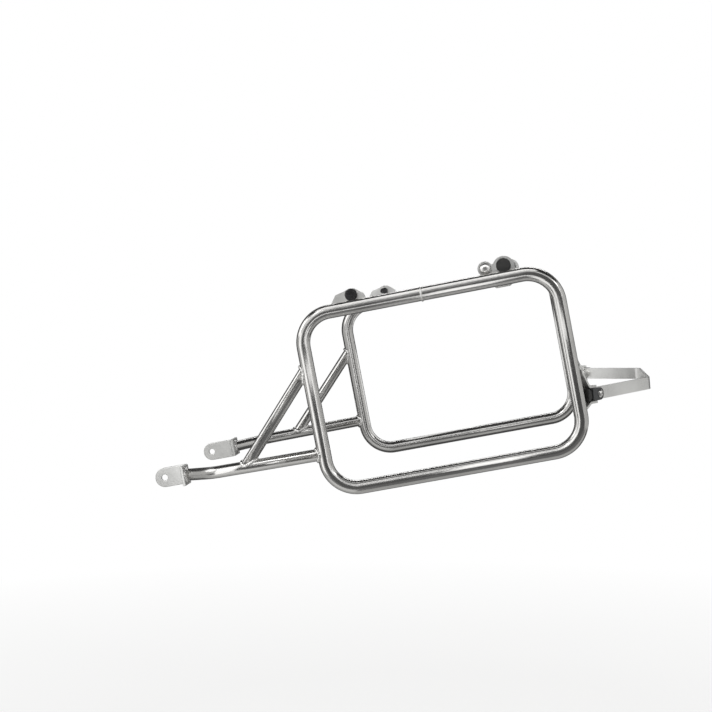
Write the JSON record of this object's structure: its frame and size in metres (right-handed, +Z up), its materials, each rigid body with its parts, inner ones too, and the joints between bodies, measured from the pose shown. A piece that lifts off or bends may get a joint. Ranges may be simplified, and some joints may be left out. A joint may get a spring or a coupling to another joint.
{
  "type": "motorcycle pannier frame",
  "caption": "Pannier frame of bent and welded stainless tube: a rectangular loop on each side, front struts, bolt-on lugs and a flat U-shaped rear brace with rubber buffers.",
  "frame": {"origin": "on the common axis of the two front fixing bores, midway between the two sides", "axes": "+X to the rear of the vehicle, +Y to its right seen from behind with +Z up, level as the frame is fitted"},
  "size_m": [0.662, 0.5008, 0.3102],
  "materials": {
    "steel_tube": "electropolished stainless tube",
    "steel_plate": "satin stainless plate",
    "flat_bar": "satin stainless flat bar",
    "weld_bead": "rippled stainless weld",
    "steel_fastener": "bright stainless",
    "black_bolt": "black-coated steel",
    "rubber": "matt black rubber",
    "moulding": "fine-grained black plastic"
  },
  "bodies": {
    "root": {"left_loop_tube": "steel_tube", "right_loop_tube": "steel_tube", "left_front_strut": "steel_tube", "right_front_strut": "steel_tube", "left_diagonal_brace": "steel_tube", "right_diagonal_brace": "steel_tube", "left_front_flange": "steel_plate", "right_front_flange": "steel_plate", "left_upper_front_lug": "steel_plate", "right_upper_front_lug": "steel_plate", "left_upper_rear_lug": "steel_plate", "right_upper_rear_lug": "steel_plate", "left_rear_bracket": "steel_plate", "right_rear_bracket": "steel_plate", "left_weld_beads": "weld_bead", "right_weld_beads": "weld_bead", "left_lug_bush": "rubber", "right_lug_bush": "rubber", "left_buffer": "rubber", "right_buffer": "rubber", "left_clamp_block": "moulding", "right_clamp_block": "moulding", "rear_cross_brace": "flat_bar", "upper_front_bolts": "black_bolt", "upper_rear_bolts": "steel_fastener", "upper_rear_washers": "steel_fastener", "clamp_screws": "steel_fastener", "clamp_washers": "steel_fastener", "clamp_nuts": "steel_fastener"}
  },
  "joints": []
}
